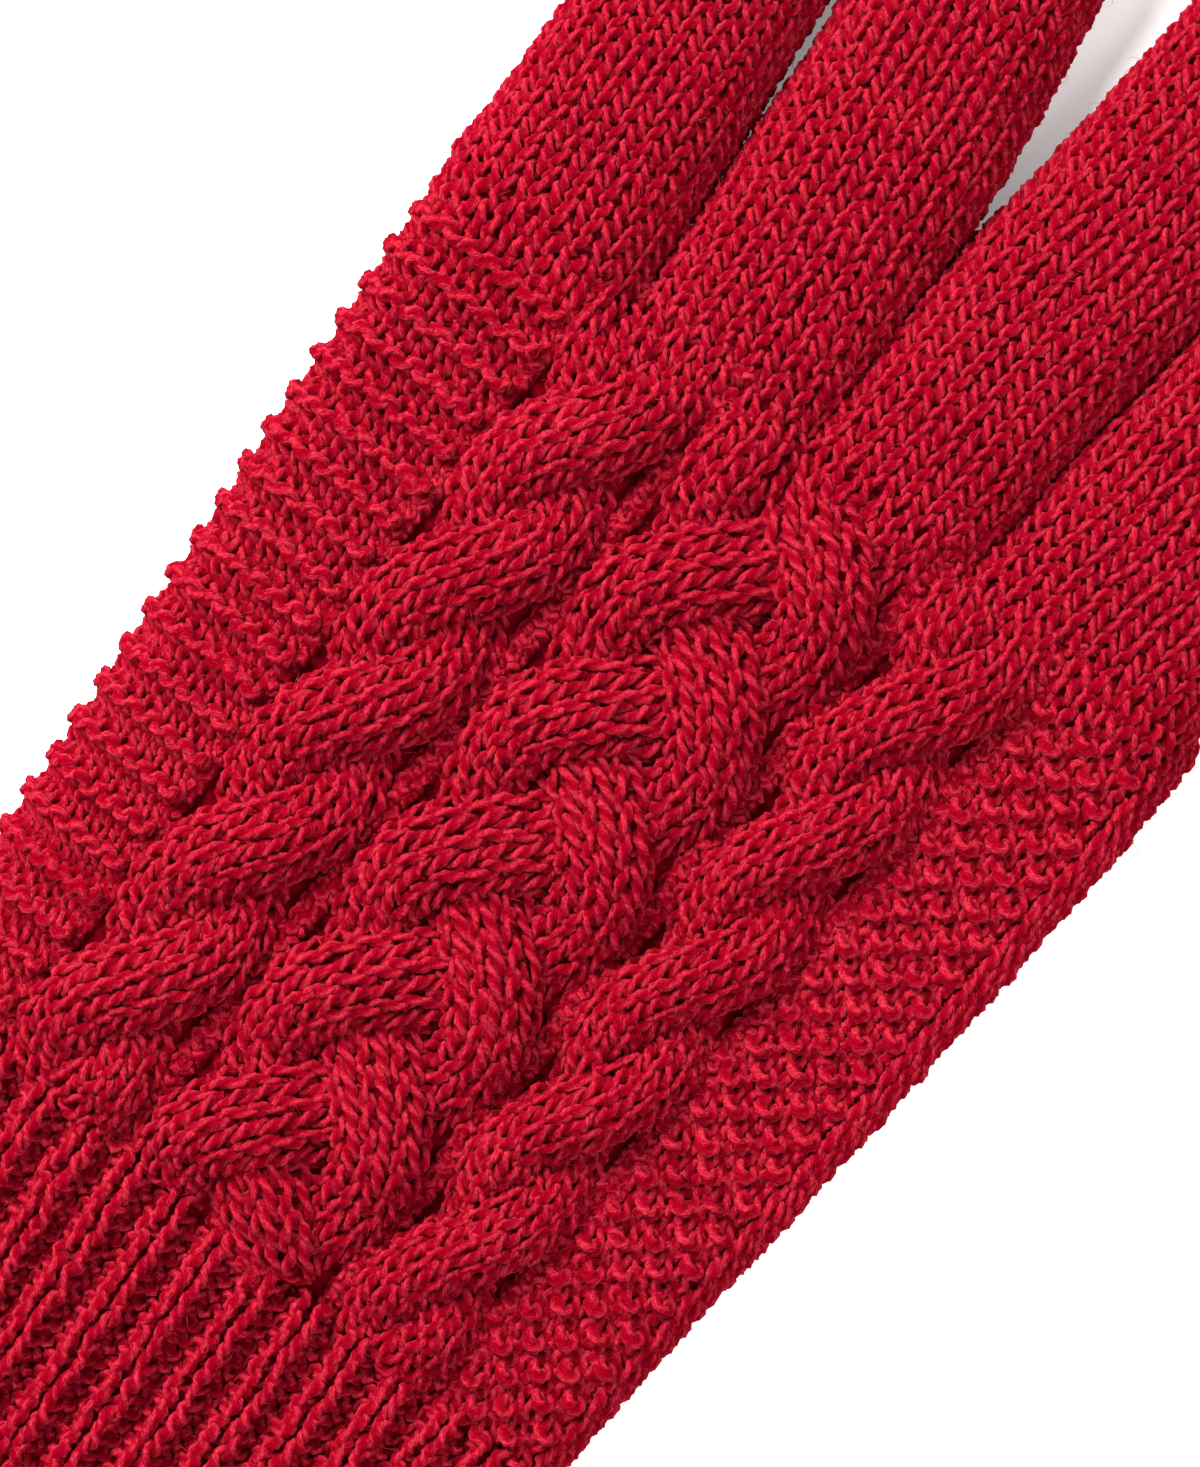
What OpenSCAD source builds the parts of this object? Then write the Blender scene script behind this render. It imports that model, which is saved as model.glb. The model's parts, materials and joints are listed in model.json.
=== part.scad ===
/* [Hand] */
// Length of the hand, from the cuff to the roots of the fingers
hand_len = 92; // [88:1:96]
// Width of the hand where it meets the cuff
hand_w_cuff = 78.4; // [74:0.2:82]
// Width of the hand across the knuckles
hand_w_knuckles = 91.4; // [90:0.2:94]
// Thickness of the empty hand lying flat, without its cables
hand_h = 11.3; // [11:0.1:12.5]
// Thickness of one layer of knitted fabric
wall = 1.3; // [1.1:0.1:1.4]

/* [Cuff] */
// Length of the ribbed cuff
cuff_len = 65; // [45:1:90]
// Width of the cuff at its free end
cuff_w_hem = 73; // [68:1:78]
// Sideways drift of the cuff's free end towards the index side
cuff_drift = 4.5; // [0:0.5:6]
// Thickness of the cuff lying flat
cuff_h = 10.5; // [9.5:0.1:11]
// Number of ribs across the back of the cuff
ribs = 15; // [11:1:17]
// Width of one rib
rib_w = 4; // [3:0.1:4.2]
// Height of a rib above the cuff
rib_rise = 1.1; // [0.6:0.1:1.4]

/* [Fingers] */
// Length of the little finger
little_len = 55; // [50:1:60]
// Length of the ring finger
ring_len = 70; // [64:1:74]
// Length of the middle finger
middle_len = 75; // [70:1:80]
// Length of the index finger
index_len = 68; // [62:1:72]
// Thickness of a finger lying flat
finger_h = 10; // [9.5:0.1:10.5]
// Lean of the little and ring fingers away from the middle, in degrees
outer_lean = 5.4; // [4:0.1:6]
// Lean of the index finger, in degrees
index_lean = 6; // [5:0.1:7]

/* [Thumb] */
// Length of the thumb
thumb_len = 52; // [46:1:54]
// Width of the thumb
thumb_w = 20; // [18:0.5:21]
// Thickness of the thumb lying flat under the palm
thumb_h = 7.2; // [7.1:0.1:7.3]

/* [Cables] */
// Length of the hand between two crossings of a cable
cable_pitch = 16.5; // [14:0.1:19]
// Thickness of one cable strand
strand_h = 1.9; // [1.5:0.1:2.2]
// Distance between two ridges of the garter panels
ridge_pitch = 3.95; // [3.2:0.05:4.6]

/* [Hidden] */
$fn = 40;
yarn_red = "#b31228";
rib_red = "#a81024";
cable_red = "#c41630";
gap = 0.3;
eps = 0.02;

// The hand's centre line drifts a little between the cuff and the knuckles.
centre_at_cuff = 0.75;
centre_at_knuckles = -1.3;
cuff_drop = hand_h - cuff_h;

// Bends: height of each hinge line, and how far each bend opens up or closes down.
wrist_z = 5.4;
wrist_up = 27;
wrist_down = 32;
finger_z = 4;
knuckle_up = 14;
knuckle_down = 44;
bend_up = 1;
bend_down = 49;
thumb_z = thumb_h / 2;
thumb_down = 37;

// Fingers, from little to index: root x, root v, lean, root width, tip width, length.
FINGERS = [
    [-35.9, 93, -outer_lean, 20.6, 17.8, little_len],
    [-14.2, 95, -outer_lean, 20.6, 18.6, ring_len],
    [7.2, 96.5, 2.4, 20.4, 18.8, middle_len],
    [30.6, 95, index_lean, 24.6, 20.4, index_len]
];
first_bend = 0.36;
second_bend = 0.68;

// Cables: centre at the cuff, centre at the knuckles, width.
LEFT_ROPE = [-20.2, -20.2, 14.8];
PLAIT = [0.3, 0.8, 24];
RIGHT_ROPE = [17.9, 21, 13];
first_crossing = 12.4;
cable_start = 6;
cable_end = hand_len - 8;
rows_a_pitch = 8;

// Thumb: its swing centre, and the recess that the palm leaves for it.
thumb_x = 26.5;
recess_v = 27;
recess_end = recess_v + thumb_len + 3.5;
recess_x = 10.5;
palm_floor = thumb_h + gap;
palm_seam = palm_floor + wall;
thumb_root_v = recess_v + gap + 0.5 + thumb_w / 2;
thumb_bend_v = thumb_root_v + thumb_len * 0.38;
thumb_tip_v = thumb_root_v + thumb_len - thumb_w;

// Widest points, which put the origin at the middle of the base.
function tip_x(f) = f[0] + sin(f[2]) * (f[5] - f[4] / 2);
function tip_v(f) = f[1] + cos(f[2]) * (f[5] - f[4] / 2);
low_x = tip_x(FINGERS[0]) - FINGERS[0][4] / 2;
high_x = tip_x(FINGERS[3]) + FINGERS[3][4] / 2;
high_v = tip_v(FINGERS[2]) + FINGERS[2][4] / 2;
shift_x = -(low_x + high_x) / 2;
shift_v = -(high_v - cuff_len) / 2;

function lerp(a, b, t) = a + (b - a) * t;
function hand_centre(v) = lerp(centre_at_cuff, centre_at_knuckles, v / hand_len);
function hand_half(v) = lerp(hand_w_cuff, hand_w_knuckles, v / hand_len) / 2;
function left_edge(v) = hand_centre(v) - hand_half(v);
function right_edge(v) = hand_centre(v) + hand_half(v);

// Moves the glove's working frame, whose origin is the middle of the cuff seam, to the part's frame.
module place() {
    translate([shift_x, shift_v, 0]) children();
}

// A flat oval: the section of every flattened tube.
module oval(w, h) {
    translate([-(w - h) / 2, 0]) square([w - h, h]);
    translate([-(w - h) / 2, h / 2]) circle(d = h);
    translate([(w - h) / 2, h / 2]) circle(d = h);
}

// A straight flattened tube along +Y, from y0 to y1, standing z0 above the base.
module oval_bar(w, h, y0, y1, z0 = 0) {
    translate([0, y1, z0]) rotate([90, 0, 0]) linear_extrude(y1 - y0) oval(w, h);
}

// A round flat disc with a fully rounded rim, standing z0 above the base.
module round_puck(w, h, z0 = 0) {
    translate([0, 0, z0]) rotate_extrude() {
        square([(w - h) / 2, h]);
        translate([(w - h) / 2, h / 2]) intersection() {
            circle(d = h);
            translate([-(w - h) / 2, -h]) square([w, 2 * h]);
        }
    }
}

// Everything past a bend on the line y, z. towards is 1 on the fingertip side and -1 on the cuff side.
// The cut leans back by the angle up above the line and by the angle down below it.
module past_bend(y, z, towards, up, down) {
    reach = 20;
    far = 160;
    above = gap + reach * tan(up);
    below = gap + reach * tan(down);
    outline = [[-gap, z], [-above, z + reach], [far, z + reach], [far, z - reach], [-below, z - reach]];
    translate([-far / 2, y, 0]) rotate([90, 0, 90]) linear_extrude(far)
        polygon([for (p = outline) [towards * p[0], p[1]]]);
}

// A thin slice of the hand at v, with the fabric's inner face when inset is the wall.
module hand_slice(v, w, x, h, inset) {
    translate([x, v, 0]) oval_bar(w - 2 * inset, h - 2 * inset, 0, eps, inset);
}

module hand_form(inset, past) {
    hull() {
        hand_slice(-past, 2 * hand_half(-past), hand_centre(-past), hand_h, inset);
        hand_slice(hand_len + past, 2 * hand_half(hand_len + past), hand_centre(hand_len + past), hand_h, inset);
    }
}

// What the hand leaves clear at the wrist and at each finger's root.
module hand_bends() {
    past_bend(0, wrist_z, -1, wrist_up, wrist_down);
    for (f = FINGERS) intersection() {
        past_bend(f[1], finger_z, 1, knuckle_up, knuckle_down);
        translate([f[0] - f[3] / 2 - 1.2, hand_len - 20, -20]) cube([f[3] + 2.4, 60, 60]);
    }
}

// Everything the thumb sweeps through under the palm.
module thumb_recess(floor_z) {
    translate([recess_x, recess_v, -1]) cube([60, recess_end - recess_v, floor_z + 1]);
}

module hand_layers(low, high) {
    intersection() {
        difference() {
            hand_form(0, 0);
            hand_form(wall, 5);
        }
        translate([-80, -5, low]) cube([160, hand_len + 10, high - low]);
    }
}

module back_panel() {
    color(yarn_red) place() difference() {
        hand_layers(palm_seam, hand_h + 1);
        hand_bends();
    }
}

// Walls of the recess: the raised floor over the thumb and the steps down to the rest of the palm.
module recess_walls() {
    difference() {
        intersection() {
            hand_form(0, 0);
            translate([recess_x - wall, recess_v - wall, 0])
                cube([60, recess_end - recess_v + 2 * wall, palm_seam]);
        }
        thumb_recess(palm_floor);
        translate([recess_x - wall - 1, recess_v - wall - 1, -1]) cube([80, wall + 1, 30]);
    }
}

module palm_panel() {
    color(yarn_red) place() difference() {
        union() {
            difference() {
                hand_layers(-1, palm_seam);
                thumb_recess(palm_floor);
            }
            recess_walls();
        }
        hand_bends();
    }
}

// The band across the palm that the thumb is picked up from, with the way into the thumb.
module thumb_gusset() {
    color(yarn_red) place() difference() {
        intersection() {
            hand_form(wall + 0.05, 5);
            translate([recess_x, recess_v - wall, 0]) cube([60, wall - 0.05, palm_floor - 0.05]);
        }
        translate([thumb_x, 0, 0]) oval_bar(thumb_w - 2 * wall, thumb_h - 2 * wall, 0, 60, wall);
    }
}

// Garter panel between two edges given at the cuff and at the knuckles, with a ridge at every pitch.
module garter_panel(x0, x1, x2, x3) {
    first_v = 5;
    last_v = hand_len - 7;
    top = hand_h + eps;
    difference() {
        union() {
            translate([0, 0, top]) linear_extrude(0.7)
                polygon([[x0, first_v], [x1, first_v], [x3, last_v], [x2, last_v]]);
            for (v = [first_v + 1.2 : ridge_pitch : last_v - 1.2]) {
                t = (v - first_v) / (last_v - first_v);
                start_x = lerp(x0, x2, t) + 0.3;
                end_x = lerp(x1, x3, t) - 0.3;
                translate([start_x, v, top + 0.5]) rotate([0, 90, 0]) cylinder(r = 1.1, h = end_x - start_x);
            }
        }
        translate([-80, -5, top - 5]) cube([160, hand_len + 10, 5]);
    }
}

module little_side_garter() {
    color(cable_red) place()
        garter_panel(left_edge(5) + 5.7, -28.2, left_edge(hand_len - 7) + 5.7, -28.2);
}

module index_side_garter() {
    color(cable_red) place()
        garter_panel(25.2, right_edge(5) - 6.2, 28.2, right_edge(hand_len - 7) - 6.2);
}

// The two smooth columns between the garter panel and the index edge.
module index_edge_wales() {
    first_v = 5;
    last_v = hand_len - 7;
    color(cable_red) place() for (inward = [4.6, 5.85])
        translate([0, 0, hand_h + eps]) linear_extrude(0.8) polygon([
            [right_edge(first_v) - inward - 0.05, first_v], [right_edge(first_v) - inward + 1.05, first_v],
            [right_edge(last_v) - inward + 1.05, last_v], [right_edge(last_v) - inward - 0.05, last_v]
        ]);
}

// A flat oval strand along a list of points, closed at both ends.
module strand(path, w) {
    sides = 10;
    rings = len(path);
    corners = [
        for (p = path) for (j = [0 : sides - 1])
            [p[0] + w / 2 * cos(360 * j / sides), p[1], p[2] + strand_h / 2 * sin(360 * j / sides)]
    ];
    side_faces = [
        for (i = [0 : rings - 2]) for (j = [0 : sides - 1])
            [i * sides + j, i * sides + (j + 1) % sides, (i + 1) * sides + (j + 1) % sides, (i + 1) * sides + j]
    ];
    first_end = [for (j = [sides - 1 : -1 : 0]) j];
    last_end = [for (j = [0 : sides - 1]) (rings - 1) * sides + j];
    polyhedron(corners, concat([first_end], side_faces, [last_end]));
}

function cable_rows() = [cable_start : cable_pitch / rows_a_pitch : cable_end];
function cable_centre(c, v) = lerp(c[0], c[1], v / hand_len);

// A rope strand rises over its partner each time that it crosses towards the index side.
function rope_path(c, w, phase) = [
    for (v = cable_rows())
        let (turn = 180 * (v - first_crossing) / cable_pitch + phase)
        [
            cable_centre(c, v) + (c[2] - w) / 2 * sin(turn), v,
            hand_h + eps + strand_h + (strand_h / 2 + eps) * cos(turn)
        ]
];

// A plait strand rises while it crosses inwards and dips while it crosses outwards.
function plait_path(c, w, phase) = [
    for (v = cable_rows())
        let (turn = 120 * (v - first_crossing) / cable_pitch + phase)
        [
            cable_centre(c, v) + (c[2] - w) / 2 * cos(turn), v,
            hand_h + eps + 1.1 * strand_h + 0.6 * strand_h * sin(2 * turn)
        ]
];

rope_strand_w = 7;
plait_strand_w = 7.6;

module left_cable_strand_a() {
    color(cable_red) place() strand(rope_path(LEFT_ROPE, rope_strand_w, 0), rope_strand_w);
}

module left_cable_strand_b() {
    color(cable_red) place() strand(rope_path(LEFT_ROPE, rope_strand_w, 180), rope_strand_w);
}

module right_cable_strand_a() {
    color(cable_red) place() strand(rope_path(RIGHT_ROPE, rope_strand_w - 1, 0), rope_strand_w - 1);
}

module right_cable_strand_b() {
    color(cable_red) place() strand(rope_path(RIGHT_ROPE, rope_strand_w - 1, 180), rope_strand_w - 1);
}

module plait_strand_a() {
    color(cable_red) place() strand(plait_path(PLAIT, plait_strand_w, 23), plait_strand_w);
}

module plait_strand_b() {
    color(cable_red) place() strand(plait_path(PLAIT, plait_strand_w, 143), plait_strand_w);
}

module plait_strand_c() {
    color(cable_red) place() strand(plait_path(PLAIT, plait_strand_w, 263), plait_strand_w);
}

module cuff_slice(v, inset) {
    t = -v / cuff_len;
    w = lerp(hand_w_cuff, cuff_w_hem, t);
    x = lerp(centre_at_cuff, centre_at_cuff + cuff_drift, t);
    hand_slice(v, w, x, cuff_h, inset);
}

module cuff_form(inset, v0, v1) {
    hull() {
        cuff_slice(v0, inset);
        cuff_slice(v1, inset);
    }
}

hem_len = 3;

module cuff_tube() {
    color(rib_red) place() difference() {
        cuff_form(0, -cuff_len + hem_len, -eps);
        cuff_form(wall, -cuff_len, 5);
        past_bend(0, wrist_z, 1, wrist_up, wrist_down);
    }
}

module cast_on_edge() {
    color(rib_red) place() difference() {
        cuff_form(0, -cuff_len, -cuff_len + hem_len - 2 * eps);
        cuff_form(wall - 0.2, -cuff_len - 5, 0);
    }
}

// Long round-topped ribs, which run closer together towards the cuff's free end.
module cuff_ribs() {
    radius = (rib_w * rib_w / 4 + rib_rise * rib_rise) / (2 * rib_rise);
    first_v = -5;
    last_v = -cuff_len + hem_len;
    flat_top = hand_w_cuff - cuff_h;
    flat_hem = cuff_w_hem - cuff_h;
    color(rib_red) place() for (i = [0 : ribs - 1]) {
        side = (i + 0.5) / ribs - 0.5;
        x0 = centre_at_cuff + side * flat_top;
        x1 = centre_at_cuff + cuff_drift + side * flat_hem;
        lean = atan2(x1 - x0, cuff_len);
        intersection() {
            translate([x0, first_v, cuff_h + eps + rib_rise - radius])
                rotate([90, 0, lean]) cylinder(r = radius, h = first_v - last_v, $fn = 60);
            translate([-80, last_v, cuff_h + eps]) cube([160, first_v - last_v, 10]);
        }
    }
}

// A finger's own frame: origin at the middle of its root, +Y along the finger.
module finger_frame(f) {
    translate([f[0], f[1], 0]) rotate([0, 0, -f[2]]) children();
}

function finger_width(f, share) = lerp(f[3], f[4], share);

// A bend of a finger lies across the whole glove, so that bent fingers stay side by side.
module past_finger_bend(f, share, towards, up, down) {
    translate([0, share * f[5], 0]) rotate([0, 0, f[2]]) past_bend(0, finger_z, towards, up, down);
}

// One length of a finger tube between two shares of its length, with a bend's clearance at each end.
module finger_length(f, from_share, to_share, up) {
    w = finger_width(f, (from_share + to_share) / 2);
    spare = 3;
    y0 = from_share * f[5] - spare;
    y1 = to_share < 1 ? to_share * f[5] + spare : f[5] - w / 2 - eps;
    place() finger_frame(f) difference() {
        oval_bar(w, finger_h, y0, y1);
        oval_bar(w - 2 * wall, finger_h - 2 * wall, y0 - 1, y1 + 1, wall);
        past_finger_bend(f, from_share, -1, up, from_share == 0 ? knuckle_down : bend_down);
        if (to_share < 1) past_finger_bend(f, to_share, 1, bend_up, bend_down);
    }
}

// The drawn-together end of a tube of width w, centred on v and opening towards its root.
module closed_end(w, h, v) {
    translate([0, v, 0]) intersection() {
        difference() {
            round_puck(w, h);
            round_puck(w - 2 * wall, h - 2 * wall, wall);
        }
        translate([-w, 0, -1]) cube([2 * w, w, h + 2]);
    }
}

module finger_base(i) {
    color(yarn_red) finger_length(FINGERS[i], 0, first_bend, knuckle_up);
}

module finger_middle(i) {
    color(yarn_red) finger_length(FINGERS[i], first_bend, second_bend, bend_up);
}

module finger_end(i) {
    color(yarn_red) finger_length(FINGERS[i], second_bend, 1, bend_up);
}

module finger_tip(i) {
    f = FINGERS[i];
    w = finger_width(f, (second_bend + 1) / 2);
    color(yarn_red) place() finger_frame(f) closed_end(w, finger_h, f[5] - w / 2);
}

module little_finger_base() { finger_base(0); }
module little_finger_middle() { finger_middle(0); }
module little_finger_end() { finger_end(0); }
module little_finger_tip() { finger_tip(0); }
module ring_finger_base() { finger_base(1); }
module ring_finger_middle() { finger_middle(1); }
module ring_finger_end() { finger_end(1); }
module ring_finger_tip() { finger_tip(1); }
module middle_finger_base() { finger_base(2); }
module middle_finger_middle() { finger_middle(2); }
module middle_finger_end() { finger_end(2); }
module middle_finger_tip() { finger_tip(2); }
module index_finger_base() { finger_base(3); }
module index_finger_middle() { finger_middle(3); }
module index_finger_end() { finger_end(3); }
module index_finger_tip() { finger_tip(3); }

// A small pad of picked-up stitches between two finger roots.
module root_bridge(x, v) {
    color(yarn_red) place() translate([x, v, 1.5]) cylinder(d = 0.9, h = finger_h - 3);
}

function between(a, b) = [(FINGERS[a][0] + FINGERS[a][3] / 2 + FINGERS[b][0] - FINGERS[b][3] / 2) / 2, hand_len];

module little_ring_bridge() {
    root_bridge(between(0, 1)[0], between(0, 1)[1]);
}

module ring_middle_bridge() {
    root_bridge(between(1, 2)[0], between(1, 2)[1]);
}

module middle_index_bridge() {
    root_bridge(between(2, 3)[0], between(2, 3)[1]);
}

// The thumb lies flat under the palm and swings about the middle of its rounded root.
module thumb_pouch(w, h, z0) {
    translate([thumb_x, thumb_root_v, 0]) round_puck(w, h, z0);
    translate([thumb_x, 0, 0]) oval_bar(w, h, thumb_root_v, thumb_tip_v, z0);
}

module thumb_base() {
    color(yarn_red) place() difference() {
        thumb_pouch(thumb_w, thumb_h, 0);
        thumb_pouch(thumb_w - 2 * wall, thumb_h - 2 * wall, wall);
        translate([thumb_x, 0, 0]) oval_bar(thumb_w - 2 * wall, thumb_h - 2 * wall, 0, thumb_tip_v + 5, wall);
        past_bend(thumb_bend_v, thumb_z, 1, bend_up, thumb_down);
    }
}

module thumb_end() {
    color(yarn_red) place() difference() {
        translate([thumb_x, 0, 0]) oval_bar(thumb_w, thumb_h, thumb_bend_v, thumb_tip_v - eps);
        translate([thumb_x, 0, 0]) oval_bar(thumb_w - 2 * wall, thumb_h - 2 * wall, 0, thumb_tip_v + 5, wall);
        past_bend(thumb_bend_v, thumb_z, -1, bend_up, thumb_down);
    }
}

module thumb_tip() {
    color(yarn_red) place() translate([thumb_x, 0, 0]) closed_end(thumb_w, thumb_h, thumb_tip_v);
}

cuff_tube();
cuff_ribs();
cast_on_edge();
palm_panel();
back_panel();
thumb_gusset();
little_side_garter();
index_side_garter();
index_edge_wales();
left_cable_strand_a();
left_cable_strand_b();
plait_strand_a();
plait_strand_b();
plait_strand_c();
right_cable_strand_a();
right_cable_strand_b();
little_ring_bridge();
ring_middle_bridge();
middle_index_bridge();
little_finger_base();
little_finger_middle();
little_finger_end();
little_finger_tip();
ring_finger_base();
ring_finger_middle();
ring_finger_end();
ring_finger_tip();
middle_finger_base();
middle_finger_middle();
middle_finger_end();
middle_finger_tip();
index_finger_base();
index_finger_middle();
index_finger_end();
index_finger_tip();
thumb_base();
thumb_end();
thumb_tip();
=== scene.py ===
"""A cable-knit glove built loop by loop: every row of yarn is a twisted two-ply tube on the glove's shape."""
import json
import math

import bpy
import numpy as np
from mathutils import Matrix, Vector


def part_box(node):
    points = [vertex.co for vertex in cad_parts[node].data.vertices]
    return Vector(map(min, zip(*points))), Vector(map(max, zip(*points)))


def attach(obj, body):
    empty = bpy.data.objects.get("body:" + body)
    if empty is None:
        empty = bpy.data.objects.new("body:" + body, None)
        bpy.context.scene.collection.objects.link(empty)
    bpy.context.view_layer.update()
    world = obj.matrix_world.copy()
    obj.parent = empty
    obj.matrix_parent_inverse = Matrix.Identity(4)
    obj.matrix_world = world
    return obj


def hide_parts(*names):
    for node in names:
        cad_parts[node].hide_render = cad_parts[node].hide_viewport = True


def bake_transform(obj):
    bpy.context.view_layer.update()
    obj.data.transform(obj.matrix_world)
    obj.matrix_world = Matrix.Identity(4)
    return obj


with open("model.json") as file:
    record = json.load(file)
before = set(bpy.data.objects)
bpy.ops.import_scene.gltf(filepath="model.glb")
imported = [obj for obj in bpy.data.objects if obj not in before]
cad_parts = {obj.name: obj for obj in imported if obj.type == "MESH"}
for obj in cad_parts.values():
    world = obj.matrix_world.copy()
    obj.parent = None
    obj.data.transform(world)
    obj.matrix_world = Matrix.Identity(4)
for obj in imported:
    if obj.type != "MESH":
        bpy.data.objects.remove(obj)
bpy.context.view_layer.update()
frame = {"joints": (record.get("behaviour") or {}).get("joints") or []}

# ---------------------------------------------------------------- places, from the frame, in millimetres
MM = 0.001
JOINTS = {j["name"]: j for j in frame["joints"]}


def joint_place(name):
    return np.array(JOINTS[name]["pos_m"]) / MM


def node_box(name):
    low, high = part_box(name)
    return np.array(low) / MM, np.array(high) / MM


CUFF_CENTRE = 0.75                                  # the cuff seam's middle, left of which x = 0 lies
SEAM = joint_place("wrist_bend") * [1, 1, 0] - np.array([CUFF_CENTRE, 0, 0])
HAND_LEN = node_box("back_panel")[1][1] - SEAM[1]   # from the cuff seam to the finger roots
CUFF_LEN = SEAM[1] - node_box("cast_on_edge")[0][1]

# ---------------------------------------------------------------- the yarn
STEPS = 18          # points along one stitch
SIDES = 8           # points round the yarn
YARN_R = 0.57       # radius of the yarn over its two plies
PLY_PITCH = 4.4     # length of one full twist of the plies
LOOP = 1.80         # height of a loop, in rows
SWING = 0.26        # sideways swing of a loop's legs, in stitches
DEPTH = 0.60        # how far legs stand before heads
WAVER = np.array([0.055, 0.07, 0.07, 0.10])  # wander of the loop line across, along, in thickness and up
LOBES = np.array([1.10, 0.96, 0.72, 0.96, 1.10, 0.96, 0.72, 0.96])  # the section's radius round its two plies
ROW_TONE = 0.12     # how far rows differ in lightness
SLOPE_STEP = 0.03   # step for a surface's slope, in stitches and rows
HAIRS = 3.0         # loose fibres to a stitch
HAIR_R = 0.021      # radius of a loose fibre
HAIR_TAPER = np.array([1.0, 0.9, 0.5])
SKIN_THICK = 0.45   # thickness of the dark skin behind the stitches, painted as the shade between them
SKIN_PAST = 0.8     # rows that a skin reaches past its piece's first and last row
rng = np.random.default_rng(7)


def smooth(low, high, x):
    t = np.clip((x - low) / (high - low), 0, 1)
    return t * t * (3 - 2 * t)


def unit(a):
    return a / np.maximum(np.linalg.norm(a, axis=-1, keepdims=True), 1e-9)


def loops(wales, rows, kind, overhang=0.0, closed=False, depth=DEPTH, swing=SWING, loop=LOOP):
    """The loop line of each row's stitches: arrays u, v, lift and thickness, one line to a row.
    The glove is knitted towards its hem, so every loop's head points down the rows.
    kind(row, wale) is 1 for a knit stitch and -1 for a purl one."""
    spare = int(round(overhang * STEPS))
    tau = np.arange(-spare, wales * STEPS + spare + 1) / STEPS
    wale = np.floor(tau + 1e-6).astype(int)
    t = tau - wale
    rows = np.asarray(rows, float)[:, None]
    waver = rng.normal(size=(len(rows), wales + 4, 4)) * WAVER
    if closed:
        waver[:, wales + 1:] = waver[:, 1:4]
    at = np.clip(tau + 1.0, 0, wales + 2.99)
    low = np.floor(at).astype(int)
    ease = smooth(0, 1, at - low)[None, :, None]
    wander = waver[:, low] * (1 - ease) + waver[:, low + 1] * ease
    u = (tau + swing * np.sin(4 * math.pi * t))[None, :] + wander[..., 0]
    v = rows + loop / 2 * np.cos(2 * math.pi * t)[None, :] + wander[..., 1]
    this, before, after = (kind(rows, wale[None, :] + k) for k in (0, -1, 1))
    below = kind(rows - 1, wale[None, :])
    leg = (this + below) / 2
    knots = np.stack([-(before + this) / 2, leg, -below, leg, -(this + after) / 2])
    quarter = np.minimum((t * 4).astype(int), 3)
    share = (1 - np.cos(math.pi * (t * 4 - quarter))) / 2
    line = np.arange(len(rows))[:, None]
    column = np.arange(len(tau))[None, :]
    low_knot = knots[quarter[None, :], line, column]
    high_knot = knots[quarter[None, :] + 1, line, column]
    lift = depth * (low_knot + (high_knot - low_knot) * share[None, :])
    return u, v, lift + wander[..., 3], 1 + wander[..., 2]


def lay(surface, u, v, lift):
    """Points of a line on a surface, lifted along its normal, and those normals."""
    e = SLOPE_STEP
    p = surface(u, v)
    n = unit(np.cross(surface(u + e, v) - surface(u - e, v), surface(u, v + e) - surface(u, v - e)))
    return p + n * np.asarray(lift)[..., None], n


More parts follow.
